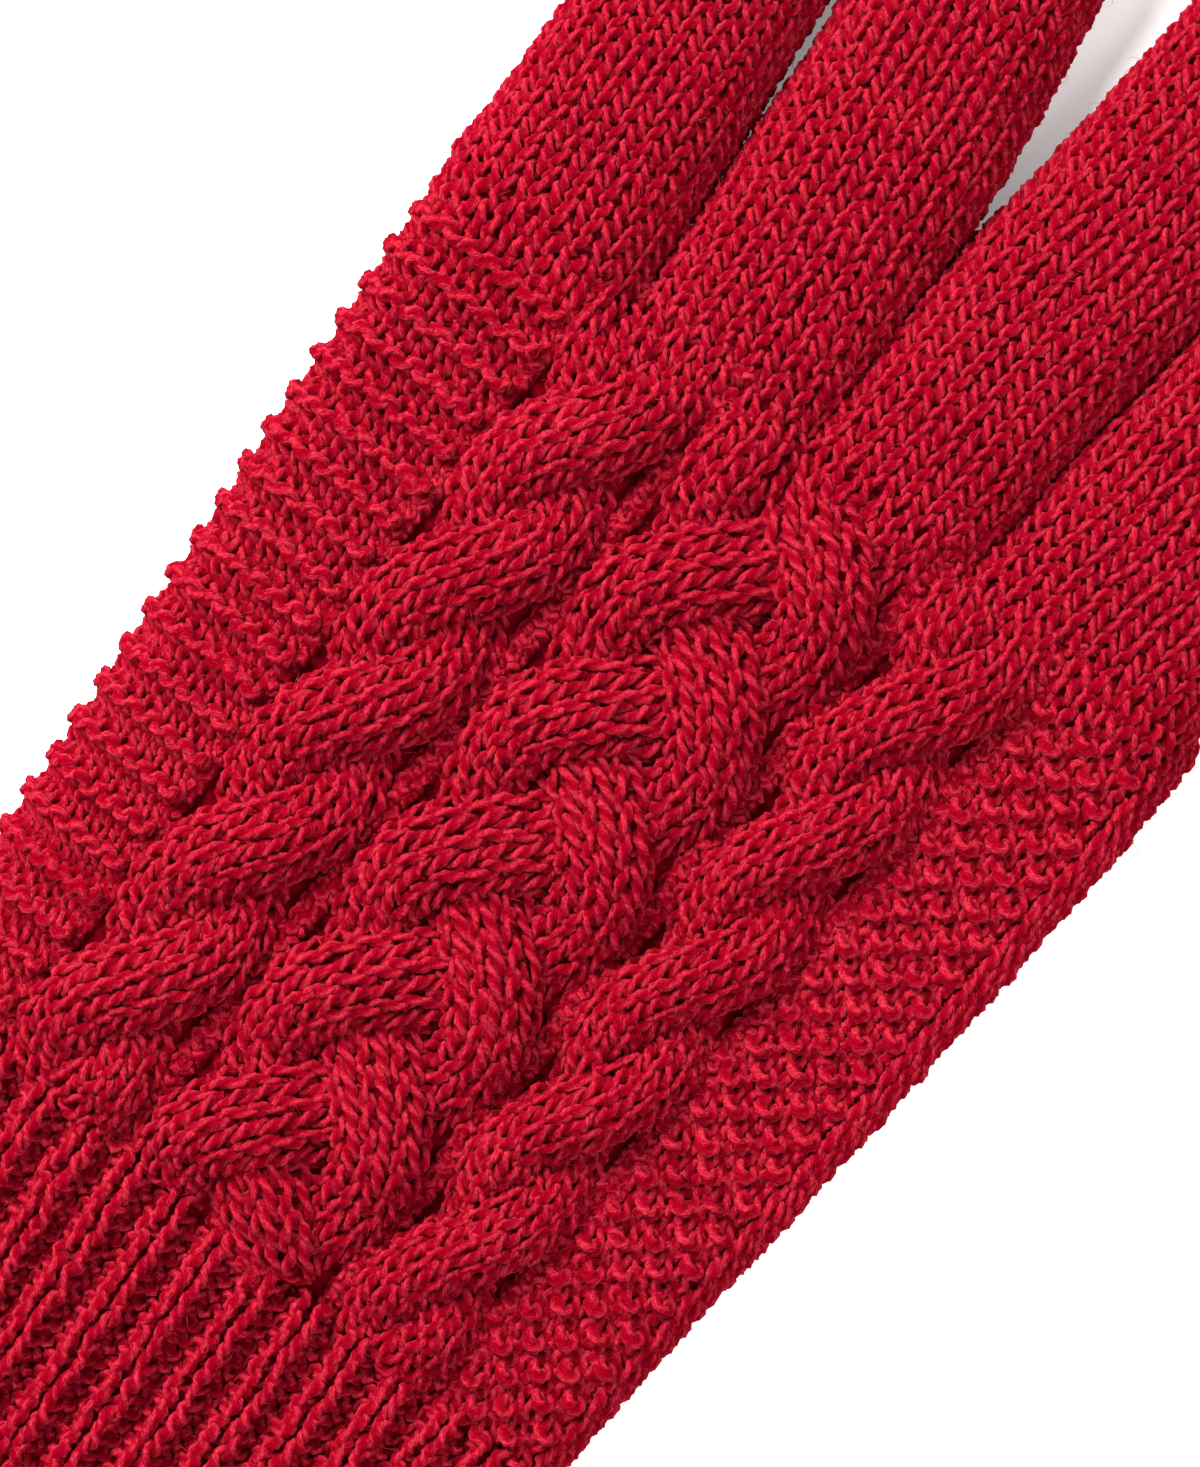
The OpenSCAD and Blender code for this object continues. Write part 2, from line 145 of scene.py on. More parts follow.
class Skein:
    """Collects yarn runs and the thin dark skin behind them, whose colour is painted shade between the
    stitches, and makes one mesh object of them.
    """

    def __init__(self):
        self.verts, self.quads, self.caps, self.uvs, self.tone = [], [], [], [], []
        self.skin, self.hair, self.ends = [], [], []
        self.count = 0

    def add(self, centres, normals, thickness, closed=False):
        """centres and normals are (runs, points, 3). A closed run's last point meets its first."""
        if closed:
            centres, normals, thickness = centres[:, :-1], normals[:, :-1], thickness[:, :-1]
            ahead, behind = np.roll(centres, -1, 1), np.roll(centres, 1, 1)
        else:
            ahead = np.concatenate([centres[:, 1:], centres[:, -1:]], 1)
            behind = np.concatenate([centres[:, :1], centres[:, :-1]], 1)
        runs, points = centres.shape[:2]
        tangent = unit(ahead - behind)
        side = unit(np.cross(tangent, normals))
        up = np.cross(side, tangent)
        step = np.linalg.norm(ahead - centres, axis=-1)
        along = np.concatenate([np.zeros((runs, 1)), np.cumsum(step, 1)], 1)
        start = rng.uniform(0, 40, (runs, 1))
        turns = along / PLY_PITCH
        if closed:
            turns = along / along[:, -1:] * np.round(along[:, -1:] / PLY_PITCH)
        angle = 2 * math.pi * (turns[:, :points] + start)[..., None] + 2 * math.pi * np.arange(SIDES) / SIDES
        radius = YARN_R * thickness[..., None] * LOBES
        ring = centres[:, :, None] + (radius * np.cos(angle))[..., None] * side[:, :, None]
        ring = ring + (radius * np.sin(angle))[..., None] * up[:, :, None]
        self.verts.append(ring.reshape(-1, 3))
        base = self.count + np.arange(runs)[:, None] * points * SIDES
        i = np.arange(points if closed else points - 1)
        j = np.arange(SIDES)
        here, onward = (i * SIDES)[:, None], (((i + 1) % points) * SIDES)[:, None]
        quads = np.stack([here + j, here + (j + 1) % SIDES, onward + (j + 1) % SIDES, onward + j], -1)
        self.quads.append((base[:, None, None] + quads.reshape(1, -1, 4)).reshape(-1, 4))
        a0, a1 = (along + start)[:, i], (along + start)[:, i + 1]
        uv = np.zeros((runs, len(i), SIDES, 4, 2))
        uv[..., 0, 0] = uv[..., 1, 0] = a0[:, :, None]
        uv[..., 2, 0] = uv[..., 3, 0] = a1[:, :, None]
        uv[..., 0, 1] = uv[..., 3, 1] = j / SIDES
        uv[..., 1, 1] = uv[..., 2, 1] = (j + 1) / SIDES
        self.uvs.append(uv.reshape(-1, 2))
        if not closed:
            first = base + (SIDES - 1 - j)[None, :]
            last = base + (points - 1) * SIDES + j[None, :]
            self.caps.append(np.concatenate([first, last]))
        tones = np.broadcast_to(rng.normal(0, ROW_TONE, (runs, 1)), (runs, points))
        self.tone.append(np.repeat(tones.reshape(-1), SIDES))
        self.count += runs * points * SIDES

    def knit(self, surface, wales, rows, kind, overhang=0.0, closed=False, dive=0.0, full=1.0, relief=None,
             **shape):
        """Rows of stitches on a surface. Past its edges an open row dives behind its neighbours."""
        u, v, lift, thick = loops(wales, rows, kind, overhang, closed, **shape)
        if overhang:
            out = np.maximum(-u, 0) + np.maximum(u - wales, 0)
            lift = lift - dive * smooth(0, overhang, out)
        if relief:
            lift = lift + relief(u, v)
        centres, normals = lay(surface, u, v, lift)
        self.add(centres, normals, thick * full, closed)
        self.hairs(centres, normals, int(len(rows) * wales * HAIRS))
        return self

    def hairs(self, centres, normals, count):
        """Fine loose fibres: thin three-sided tubes that leave the yarn and lie over its neighbours."""
        run = rng.integers(0, centres.shape[0], count)
        at = rng.integers(1, centres.shape[1] - 1, count)
        p, n = centres[run, at], normals[run, at]
        tangent = unit(centres[run, at + 1] - centres[run, at - 1])
        side = np.cross(tangent, n)
        spin = rng.uniform(-1.3, 1.3, (count, 1))
        out = n * np.cos(spin) + side * np.sin(spin)
        aim = unit(tangent * rng.normal(0, 1, (count, 1)) + side * rng.normal(0, 1, (count, 1)) + 0.35 * out)
        length = rng.gamma(3.0, 0.30, (count, 1))
        root = p + out * YARN_R * 0.85
        bow = n * rng.uniform(0.02, 0.22, (count, 1)) * length
        tip = root + aim * length + n * rng.uniform(-0.3, 0.1, (count, 1)) * length
        line = np.stack([root, (root + tip) / 2 + bow, tip], 1)
        ahead = unit(np.stack([line[:, 1] - root, tip - root, tip - line[:, 1]], 1))
        across = unit(np.cross(ahead, n[:, None]) + 1e-6)
        over = np.cross(across, ahead)
        turn = 2 * math.pi * np.arange(3) / 3
        radius = HAIR_R * HAIR_TAPER[None, :, None, None]
        ring = line[:, :, None] + radius * (across[:, :, None] * np.cos(turn)[:, None]
                                            + over[:, :, None] * np.sin(turn)[:, None])
        base = self.count + 9 * np.arange(count)[:, None, None]
        j = np.arange(3)
        quads = np.stack([j, (j + 1) % 3, 3 + (j + 1) % 3, 3 + j], -1)
        quads = np.concatenate([quads, quads + 3])
        self.verts.append(ring.reshape(-1, 3))
        self.hair.append((base + quads).reshape(-1, 4))
        self.ends.append(np.concatenate([(base[:, 0] + [2, 1, 0]), (base[:, 0] + [6, 7, 8])]))
        self.tone.append(np.full(9 * count, 1.0))
        self.count += 9 * count

    def back(self, surface, wales, first, last, closed=False, lift=-0.2, finer=1.0, relief=None):
        """A thin closed skin behind the stitches, from row first to row last."""
        u = np.linspace(0, wales, max(3, int(round(wales * 2 * finer)) + 1))
        v = np.linspace(first, last, max(2, int(round((last - first) * finer)) + 1))
        u, v = np.meshgrid(u, v)
        lift = lift + (relief(u, v) if relief else 0 * v)
        sheets = [lay(surface, u, v, h)[0] for h in (lift, lift - SKIN_THICK)]
        if closed:
            sheets = [s[:, :-1] for s in sheets]
        nv, nu = sheets[0].shape[:2]
        index = self.count + np.arange(2 * nv * nu).reshape(2, nv, nu)
        right = np.roll(index, -1, 2) if closed else index[:, :, 1:]
        left = index if closed else index[:, :, :-1]

        def strip(a, b, c, d):
            return np.stack([a, b, c, d], -1).reshape(-1, 4)

        faces = [strip(left[0, :-1], right[0, :-1], right[0, 1:], left[0, 1:]),
                 strip(left[1, :-1], left[1, 1:], right[1, 1:], right[1, :-1]),
                 strip(left[0, 0], left[1, 0], right[1, 0], right[0, 0]),
                 strip(left[0, -1], right[0, -1], right[1, -1], left[1, -1])]
        if not closed:
            faces.append(strip(index[0, :-1, 0], index[0, 1:, 0], index[1, 1:, 0], index[1, :-1, 0]))
            faces.append(strip(index[0, :-1, -1], index[1, :-1, -1], index[1, 1:, -1], index[0, 1:, -1]))
        self.verts.append(np.stack(sheets).reshape(-1, 3))
        self.skin.append(np.concatenate(faces))
        self.tone.append(np.zeros(2 * nv * nu))
        self.count += 2 * nv * nu
        return self

    def make(self, name, material):
        verts, yarn = np.concatenate(self.verts), np.concatenate(self.quads)
        skin = np.concatenate(self.skin) if self.skin else np.zeros((0, 4), int)
        hair = np.concatenate(self.hair) if self.hair else np.zeros((0, 4), int)
        ends = np.concatenate(self.ends) if self.ends else np.zeros((0, 3), int)
        caps = np.concatenate(self.caps) if self.caps else np.zeros((0, SIDES), int)
        mesh = bpy.data.meshes.new(name)
        mesh.vertices.add(len(verts))
        place = (verts + SEAM) * MM
        place[:, 2] = np.maximum(place[:, 2], 0.0)
        mesh.vertices.foreach_set("co", place.astype(np.float32).ravel())
        faces = [yarn, skin, hair, ends, caps]
        corners = np.concatenate([f.ravel() for f in faces]).astype(np.int32)
        sizes = np.concatenate([np.full(len(f), f.shape[1]) for f in faces])
        starts = np.cumsum(sizes) - sizes
        mesh.loops.add(len(corners))
        mesh.loops.foreach_set("vertex_index", corners)
        mesh.polygons.add(len(starts))
        mesh.polygons.foreach_set("loop_start", starts.astype(np.int32))
        mesh.polygons.foreach_set("use_smooth", np.ones(len(starts), bool))
        uv = np.concatenate([np.concatenate(self.uvs), np.zeros((len(corners) - yarn.size, 2))])
        mesh.uv_layers.new(name="yarn").data.foreach_set("uv", uv.astype(np.float32).ravel())
        tone = mesh.attributes.new("tone", "FLOAT", "POINT")
        tone.data.foreach_set("value", np.concatenate(self.tone).astype(np.float32))
        for look in (material, SHADE_SKIN, HAIR):
            mesh.materials.append(look)
        which = np.repeat([0, 1, 2, 2, 0], [len(f) for f in faces]).astype(np.int32)
        mesh.polygons.foreach_set("material_index", which)
        mesh.update()
        mesh.validate()
        piece = bpy.data.objects.new(name, mesh)
        bpy.context.scene.collection.objects.link(piece)
        return piece


# ---------------------------------------------------------------- materials
def node_tree(name):
    material = bpy.data.materials.new(name)
    material.use_nodes = True
    tree = material.node_tree
    return material, tree, tree.nodes["Principled BSDF"]


def ramp(tree, stops):
    node = tree.nodes.new("ShaderNodeValToRGB")
    while len(node.color_ramp.elements) < len(stops):
        node.color_ramp.elements.new(0.5)
    for element, (position, colour) in zip(node.color_ramp.elements, stops):
        element.position = position
        element.color = (*colour, 1)
    return node


def calculate(tree, operation, *values):
    node = tree.nodes.new("ShaderNodeMath")
    node.operation = operation
    for socket, value in zip(node.inputs, values):
        if hasattr(value, "links"):
            tree.links.new(value, socket)
        else:
            socket.default_value = value
    return node.outputs[0]


def yarn_material(name, deep, middle, bright):
    """Two-ply wool: fine fibres that run with the plies, with painted shade in the groove between the plies
    and a painted highlight on their crests.
    """
    material, tree, shader = node_tree(name)
    link = tree.links.new
    uv = tree.nodes.new("ShaderNodeUVMap")
    uv.uv_map = "yarn"
    skew = tree.nodes.new("ShaderNodeMapping")
    skew.inputs["Scale"].default_value = (1.1, 9.0, 1.0)
    link(uv.outputs["UV"], skew.inputs["Vector"])
    fibre = tree.nodes.new("ShaderNodeTexNoise")
    fibre.inputs["Scale"].default_value = 2.8
    fibre.inputs["Detail"].default_value = 4.0
    fibre.inputs["Roughness"].default_value = 0.6
    link(skew.outputs["Vector"], fibre.inputs["Vector"])
    parts = tree.nodes.new("ShaderNodeSeparateXYZ")
    link(uv.outputs["UV"], parts.inputs["Vector"])
    # painted shade and highlight: this term lightens the plies' crests and darkens the groove between them
    ply = calculate(tree, "COSINE", calculate(tree, "MULTIPLY", parts.outputs["Y"], 4 * math.pi))
    tone = tree.nodes.new("ShaderNodeAttribute")
    tone.attribute_name = "tone"
    value = calculate(tree, "MULTIPLY_ADD", tone.outputs["Fac"], 0.10, fibre.outputs["Fac"])
    value = calculate(tree, "MULTIPLY_ADD", ply, 0.12, value)
    colours = ramp(tree, [(0.30, deep), (0.53, middle), (0.74, bright)])
    link(value, colours.inputs["Fac"])
    link(colours.outputs["Color"], shader.inputs["Base Color"])
    bump = tree.nodes.new("ShaderNodeBump")
    bump.inputs["Strength"].default_value = 0.9
    bump.inputs["Distance"].default_value = 0.0003
    link(fibre.outputs["Fac"], bump.inputs["Height"])
    link(bump.outputs["Normal"], shader.inputs["Normal"])
    shader.inputs["Roughness"].default_value = 0.85
    shader.inputs["Specular IOR Level"].default_value = 0.0
    shader.inputs["Sheen Weight"].default_value = 0.16
    shader.inputs["Sheen Roughness"].default_value = 0.4
    shader.inputs["Sheen Tint"].default_value = (1.0, 0.03, 0.07, 1)
    return material


def mottled_material(name, scale, stops, roughness, specular):
    """A matt material whose colour wanders between two shades."""
    material, tree, shader = node_tree(name)
    place = tree.nodes.new("ShaderNodeTexCoord")
    noise = tree.nodes.new("ShaderNodeTexNoise")
    noise.inputs["Scale"].default_value = scale
    tree.links.new(place.outputs["Object"], noise.inputs["Vector"])
    colours = ramp(tree, stops)
    tree.links.new(noise.outputs["Fac"], colours.inputs["Fac"])
    tree.links.new(colours.outputs["Color"], shader.inputs["Base Color"])
    shader.inputs["Roughness"].default_value = roughness
    shader.inputs["Specular IOR Level"].default_value = specular
    return material


# deep, middle and bright are spread by random fibre noise and row tone, and by the painted ply shade and
# highlight
RED = yarn_material("red_wool", (0.122, 0.0, 0.0032), (0.240, 0.0013, 0.0112), (0.40, 0.026, 0.042))
# painted shade: the skin behind the stitches is dark red, standing in for the shade seen between the stitches
SHADE_SKIN = mottled_material("painted_shade_inside", 900.0,
                        [(0.35, (0.055, 0.0001, 0.002)), (0.65, (0.12, 0.0005, 0.005))], 0.95, 0.0)
HAIR = mottled_material("loose_fibre", 350.0,
                        [(0.35, (0.24, 0.004, 0.014)), (0.7, (0.42, 0.030, 0.045))], 0.7, 0.05)

# ---------------------------------------------------------------- the hand's shape
HAND_ROW = 2.06             # row pitch on the hand
EDGE_R = 4.4                # how tightly the tube folds at its two edges
TOP_Z = 9.9                 # middle of the back fabric above the table
LOW_Z = 1.15                # middle of the palm fabric above the table
LEFT = (-37.6, -46.4)       # left edge at the cuff and at the finger roots
RIGHT = (39.1, 43.7)        # right edge at the cuff and at the finger roots
TOP_CROWN, SIDE_FALL = 0.7, 1.3  # rise of the back's middle, and its fall at FALL_AT from there
FALL_AT = 45.0
LEAST_THICK, OVER_THUMB = 2.4, 7.2  # least distance from palm to back, and what the thumb adds to it
TOP_DIP, LOW_DIP = 1.9, 0.8  # how far back and palm draw in where the ribs begin
DIP_SPAN = (-1.5, 4.5)      # and between which distances from the cuff seam they do
PALM_WALES = 38
HAND_ROWS = np.arange(0, 45)
PLAIN_ROW = 41              # rows above this are plain, as the fingers are
RELIEF_FADE = (40.0, 42.5)  # rows over which ridges and bumps die away
CREASE_START, CREASE_END = 83.0, 93.5  # where the hand takes on the section of the four fingers
THUMB_TOP = 8.4             # middle of the palm fabric where it drapes over the thumb
thumb_low, thumb_high = node_box("thumb_base")[0] - SEAM, node_box("thumb_tip")[1] - SEAM


def between(pair, v_mm):
    return pair[0] + (pair[1] - pair[0]) * v_mm / HAND_LEN


def palm_step(x, v_mm):
    """1 where the palm drapes over the folded thumb, 0 where it lies on the table."""
    across = smooth(thumb_low[0] - 9, thumb_low[0] + 0.5, x)
    return across * smooth(thumb_low[1] - 5, thumb_low[1] + 3, v_mm) * (
        1 - smooth(thumb_high[1] - 1, thumb_high[1] + 7, v_mm))


# finger: root width, tip width, how late it tapers, stitches round, how far its root lies beside its joints,
# and where along it that starts to fade
FINGERS = {
    "little": (23.2, 17.8, 1.1, 20, 0.3, 30.0),
    "ring": (23.6, 18.8, 1.8, 20, 0.9, 26.0),
    "middle": (22.8, 19.6, 1.8, 20, -0.9, 11.0),
    "index": (28.2, 20.8, 2.4, 24, -1.45, 50.0),
}
ASIDE_FADE = 20.0           # length over which a finger's tube comes back in line with its joints
SECOND_BEND = 0.68          # share of a finger's length at its last joint
FINGER_ROW = 1.72           # row pitch on fingers and thumb
FINGER_Z, FINGER_H = 5.0, 3.85  # middle height of a finger, and half its thickness
FINGER_EDGE = 6.6           # how tightly a finger's tube folds at its sides
DOME = 1.25                 # how much a finger's back swells in its middle
ROOT_V = HAND_ROWS[-1] * HAND_ROW + 1.9  # the fingers' first row
ROOT_FLARE = 0.3            # extra half width at a finger's root
TOUCH = 0.88                # from the yarn's middle to the wall between two fingers
TOUCH_SOFT = 0.09           # how gradually the sides flatten there, in square millimetres
LEAN_OVER = 11.0            # length over which rows turn from the hand's way to the finger's
WAVE, WAVE_RATE = 0.22, 0.42  # a slight wave along a finger's back, and its turn to the millimetre
TIP_THIN = 0.97             # how much of a tube's thickness goes at its very tip
FINGER_TIP, THUMB_TIP = 4.6, 3.4  # length over which it goes
TIP_TURN = 0.02             # turn over the fingertip from which rounds lose stitches
LAST_TURN = math.pi / 2 - 0.04
TIP_ROWS = 1.5              # rows of knitting over the tip, as a share of its radius


def stadium(t, half_width, radius, half_height):
    """A flat tube's section, from the middle of its left fold over the back: x, z and the way out."""
    flat = half_width - radius
    quarter = math.pi / 2 * radius
    girth = 4 * flat + 4 * quarter
    g = (t % 1.0) * girth
    lower = g > girth / 2
    h = np.where(lower, girth - g, g)
    left = np.clip(h / radius, 0, math.pi / 2)
    right = np.clip((h - quarter - 2 * flat) / radius, 0, math.pi / 2)
    on_flat = np.clip(h - quarter, 0, 2 * flat)
    cosine, sine = np.cos(left) - np.sin(right), np.sin(left) * np.cos(right)
    x = -flat + on_flat - radius * cosine
    side = np.where(lower, -1.0, 1.0)
    return x, half_height * sine * side, -cosine, sine * side


class Finger:
    def __init__(self, name):
        self.name = name
        root, end = joint_place(name + "_knuckle") - SEAM, joint_place(name + "_end_bend") - SEAM
        run = (end - root)[:2]
        self.root_w, self.tip_w, self.taper, self.wales, self.aside, self.fade = FINGERS[name]
        self.root = root[:2] + [self.aside, 0]
        self.along = unit(run)
        self.across = np.array([self.along[1], -self.along[0]])
        self.length = np.linalg.norm(run) / SECOND_BEND
        self.start = (ROOT_V - self.root[1]) / self.along[1]
        self.tip_r = self.half_width(self.length)
        self.straight = self.length - self.tip_r - YARN_R - self.start
        self.rows = int((self.straight + self.tip_r * TIP_ROWS) / FINGER_ROW)

    def half_width(self, y):
        share = np.clip(y / self.length, 0, 1) ** self.taper
        return (self.root_w + (self.tip_w - self.root_w) * share) / 2 - YARN_R - DEPTH / 2

    def turn(self, v):
        """How far round the fingertip a row lies, as an angle."""
        return np.clip((v * FINGER_ROW - self.straight) / self.tip_r, 0, LAST_TURN)

    def y_of(self, v):
        return self.start + np.minimum(v * FINGER_ROW, self.straight) + self.tip_r * np.sin(self.turn(v))

    def in_line(self, y):
        return self.aside * smooth(self.fade, self.fade + ASIDE_FADE, y)

    def middle_x(self, v_mm):
        y = (v_mm - self.root[1]) / self.along[1]
        return self.root[0] + y * self.along[0] - self.in_line(y)

    def keep_apart(self, x, v_mm):
        """Presses the tube's sides flat where it would run into its neighbours."""
        for other in self.beside:
            share = self.root_w / (self.root_w + other.root_w)
            wall = self.middle_x(v_mm) * (1 - share) + other.middle_x(v_mm) * share
            way = np.sign(other.root[0] - self.root[0])
            room = (wall - x) * way - TOUCH
            x = x - way * (np.sqrt(room * room + TOUCH_SOFT) - room) / 2
        return x

    def surface(self, wales):
        def place(u, v):
            s, turn, y = v * FINGER_ROW, self.turn(v), self.y_of(v)
            a = (self.half_width(y) + ROOT_FLARE * (1 - smooth(0, 10, s))) * np.cos(turn)
            from_end = self.tip_r * (1 - np.sin(turn))
            h = FINGER_H * np.sqrt(1 - TIP_THIN * np.clip(1 - from_end / FINGER_TIP, 0, 1) ** 2)
            x, z, _, _ = stadium(u / wales, a, np.minimum(FINGER_EDGE, a * 0.98), h)
            z = z + DOME * np.where(z > 0, 1 - (x / a) ** 2, 0) * np.cos(turn)
            lean = smooth(0, LEAN_OVER, s)[..., None]
            across = (1 - lean) * np.array([1.0, 0.0]) + lean * self.across
            x = x - self.in_line(y)
            flat = self.root + self.along * y[..., None] + across * x[..., None]
            flat[..., 0] = self.keep_apart(flat[..., 0], flat[..., 1])
            wave = WAVE * np.sin(y * WAVE_RATE + self.root[0]) * np.cos(turn)
            return np.concatenate([flat, (FINGER_Z + z + wave * (z > 0) * z / FINGER_H)[..., None]], -1)
        return place


fingers = {name: Finger(name) for name in FINGERS}
side_by_side = list(fingers.values())
for place, f in enumerate(side_by_side):
    f.beside = side_by_side[max(0, place - 1):place] + side_by_side[place + 1:place + 2]


def oval_height(x, half_width, radius):
    """Sine of the fold angle at x across a flat tube: 1 on the flat, 0 at the edge."""
    into = np.clip((np.abs(x) - (half_width - radius)) / radius, 0, 1)
    return np.sqrt(1 - into * into)


def finger_swell(x):
    """How far the fingers' tubes stand out at their roots, 0 in the creases to 1, and their dome."""
    swell, dome = np.zeros(np.shape(x)), np.zeros(np.shape(x))
    for f in fingers.values():
        a = f.half_width(0.0) + ROOT_FLARE
        inside = np.abs(x - f.root[0]) <= a
        swell = np.maximum(swell, np.where(inside, oval_height(x - f.root[0], a, FINGER_EDGE), 0))
        dome = np.maximum(dome, np.where(inside, 1 - ((x - f.root[0]) / a) ** 2, 0))
    return swell, dome


def hand_top(x, v_mm):
    crown = TOP_Z + TOP_CROWN - SIDE_FALL * (x / FALL_AT) ** 2
    crown = crown - TOP_DIP * (1 - smooth(*DIP_SPAN, v_mm))
    crown = np.maximum(crown, LOW_Z + LEAST_THICK + OVER_THUMB * palm_step(x, v_mm))
    swell, dome = finger_swell(x)
    crease = smooth(CREASE_START, CREASE_END, v_mm)
    return crown + (FINGER_Z + FINGER_H * swell + DOME * dome - crown) * crease


def hand_bottom(x, v_mm):
    swell, _ = finger_swell(x)
    crease = smooth(CREASE_START + 4, CREASE_END, v_mm)
    flat = LOW_Z + (THUMB_TOP - LOW_Z) * palm_step(x, v_mm)
    flat = flat + LOW_DIP * (1 - smooth(*DIP_SPAN, v_mm))
    return flat + (FINGER_Z - FINGER_H * swell - flat) * crease


def hand_side_reach(v_mm):
    """Girth coordinate of the two edges, where back and palm meet."""
    quarter = EDGE_R * (math.pi / 2 - 1)
    return between(LEFT, v_mm) - quarter, between(RIGHT, v_mm) + quarter


def hand_round(s, v_mm, face):
    """A point of the hand's tube. s is x on the flat, and runs on round the edges; face is 1 on the back."""
    x0, x1 = between(LEFT, v_mm) + EDGE_R, between(RIGHT, v_mm) - EDGE_R
    past = np.maximum(s - x1, 0) - np.maximum(x0 - s, 0)
    fold = np.clip(past / EDGE_R, -math.pi, math.pi)
    x = np.clip(s, x0, x1) + EDGE_R * np.sin(fold)
    top, low = hand_top(x, v_mm), hand_bottom(x, v_mm)
    z = (top + low) / 2 + (top - low) / 2 * np.cos(fold) * face
    return np.stack([x, v_mm + np.zeros_like(x), z], -1)


# groups across the back: name, stitches, where each starts at the cuff and at the roots
BACK = [
    ("little_side_garter", 7, None, None),
    ("left_channel_a", 1, -28.4, -28.6),
    ("left_rope", 6, -27.6, -27.8),
    ("left_channel_b", 1, -12.9, -12.9),
    ("plait", 9, -11.7, -11.7),
    ("right_channel_a", 1, 12.2, 12.8),
    ("right_rope", 6, 13.2, 14.2),
    ("right_channel_b", 1, 25.0, 27.6),
    ("index_side_garter", 5, 26.2, 28.9),
    ("index_edge_wales", 2, 37.3, 41.6),
]
BACK_NAMES = [group[0] for group in BACK]
# how far a group lies below the back, or above it where negative
SINK = {"left_channel_a": 0.5, "left_channel_b": 0.5, "right_channel_a": 0.5, "right_channel_b": 0.4,
        "index_edge_wales": -0.4}
GROOVE = {"index_side_garter": 0.3}  # bare width before the next group


def group_span(name, v_mm):
    """Where a group of stitches starts and ends across the back, at each v."""
    i = BACK_NAMES.index(name)
    left, right = hand_side_reach(v_mm)
    start = left if i == 0 else between(BACK[i][2:], v_mm)
    end = right if i + 1 == len(BACK) else between(BACK[i + 1][2:], v_mm) - GROOVE.get(name, 0.0)
    return start, end


def back_surface(name):
    """The plain surface of one group on the back."""
    wales = BACK[BACK_NAMES.index(name)][1]
    sink = SINK.get(name, 0.0)

    def place(u, v):
        v_mm = v * HAND_ROW
        start, end = group_span(name, v_mm)
        p = hand_round(start + (end - start) * u / wales, v_mm, 1)
        p[..., 2] -= sink * (1 - smooth(CREASE_START, CREASE_END, v_mm))
        return p
    return place, wales


def whole_back(u, v):
    """The whole back as one surface, for the skin behind its stitches."""
    left, right = hand_side_reach(v * HAND_ROW)
    return hand_round(left + (right - left) * u / PALM_WALES, v * HAND_ROW, 1)


def whole_palm(u, v):
    """The whole palm, from the index side to the little-finger side."""
    left, right = hand_side_reach(v * HAND_ROW)
    return hand_round(right + (left - right) * u / PALM_WALES, v * HAND_ROW, -1)


# ---------------------------------------------------------------- cables
CROSS_ROWS = 8              # rows from one crossing to the next
ROPE_FIRST = 6              # row of the ropes' first crossing
PLAIT_PHASE = 53.0          # turn of the plait's first strand at row 0, in degrees
ROPE_TURN, PLAIT_TURN = 180.0 / CROSS_ROWS, 120.0 / CROSS_ROWS  # degrees to a row
ROPE_REST, PLAIT_REST = 42, 42.5  # row whose order of strands they keep into the fingers
CABLE_RISE = 1.75           # how far a strand rises over its neighbour, and sinks under it
STRAND_CROWN = 1.5          # how much higher a strand is along its middle
STRAND_FALL = 1.25          # how steeply that falls to its sides
STRAND_FULL = 0.96          # a strand's width as a share of its place
STRAND_SKEW = 0.55          # how far its rows turn with its slope
CABLE_LEVEL = 0.55          # height of a strand's sides over the back
CABLE_LOW, RISE_LOW = 0.45, 0.3  # shares of level and rise that are left at the ribs
STRAND_FADE = (83.0, 92.0)  # where the strands stop crossing


def strand_surface(group, strand, strands):
    """One strand of a cable: three stitches wide, crossing over and under its neighbours."""
    def middle(v):
        v_mm = v * HAND_ROW
        start, end = group_span(group, v_mm)
        width = (end - start) / strands
        reach = (end - start - width) / 2
        stay = smooth(*STRAND_FADE, v_mm)
        if strands == 2:
            turn = np.radians(ROPE_TURN * (v - ROPE_FIRST) + 180.0 * strand)
            swing, rise = np.sin(turn), np.cos(turn)
            last = np.sin(math.radians(ROPE_TURN * (ROPE_REST - ROPE_FIRST) + 180.0 * strand))
            slot = 1.0 if last > 0 else -1.0
        else:
            turn = np.radians(PLAIT_TURN * v + PLAIT_PHASE + 120.0 * strand)
            swing, rise = np.cos(turn), np.sin(2 * turn)
            last = math.cos(math.radians(PLAIT_TURN * PLAIT_REST + PLAIT_PHASE + 120.0 * strand))
            slot = round(last * 1.2)
        x = (start + end) / 2 + reach * (swing * (1 - stay) + slot * stay)
        return x, width, rise * (1 - stay) * CABLE_RISE

    def place(u, v):
        x, width, rise = middle(v)
        slope = (middle(v + 0.25)[0] - middle(v - 0.25)[0]) / (0.5 * HAND_ROW)
        across = u / 3 - 0.5
        v_mm = v * HAND_ROW - STRAND_SKEW * slope * across * width
        p = hand_round(x + across * width * STRAND_FULL, v_mm, 1)
        out_of_cuff = smooth(*DIP_SPAN, v_mm)
        keep = 1 - smooth(CREASE_START, CREASE_END, v_mm)
        keep = keep * (CABLE_LOW + (1 - CABLE_LOW) * out_of_cuff)
        bulge = STRAND_CROWN * (1 - (across * 2) ** 2 * STRAND_FALL)
        p[..., 2] += (CABLE_LEVEL + bulge) * keep + rise * (RISE_LOW + (1 - RISE_LOW) * out_of_cuff)
        return p
    return place


def knit(rows, wale):
    return np.ones(np.broadcast(rows, wale).shape)


def purl(rows, wale):
    return -knit(rows, wale)


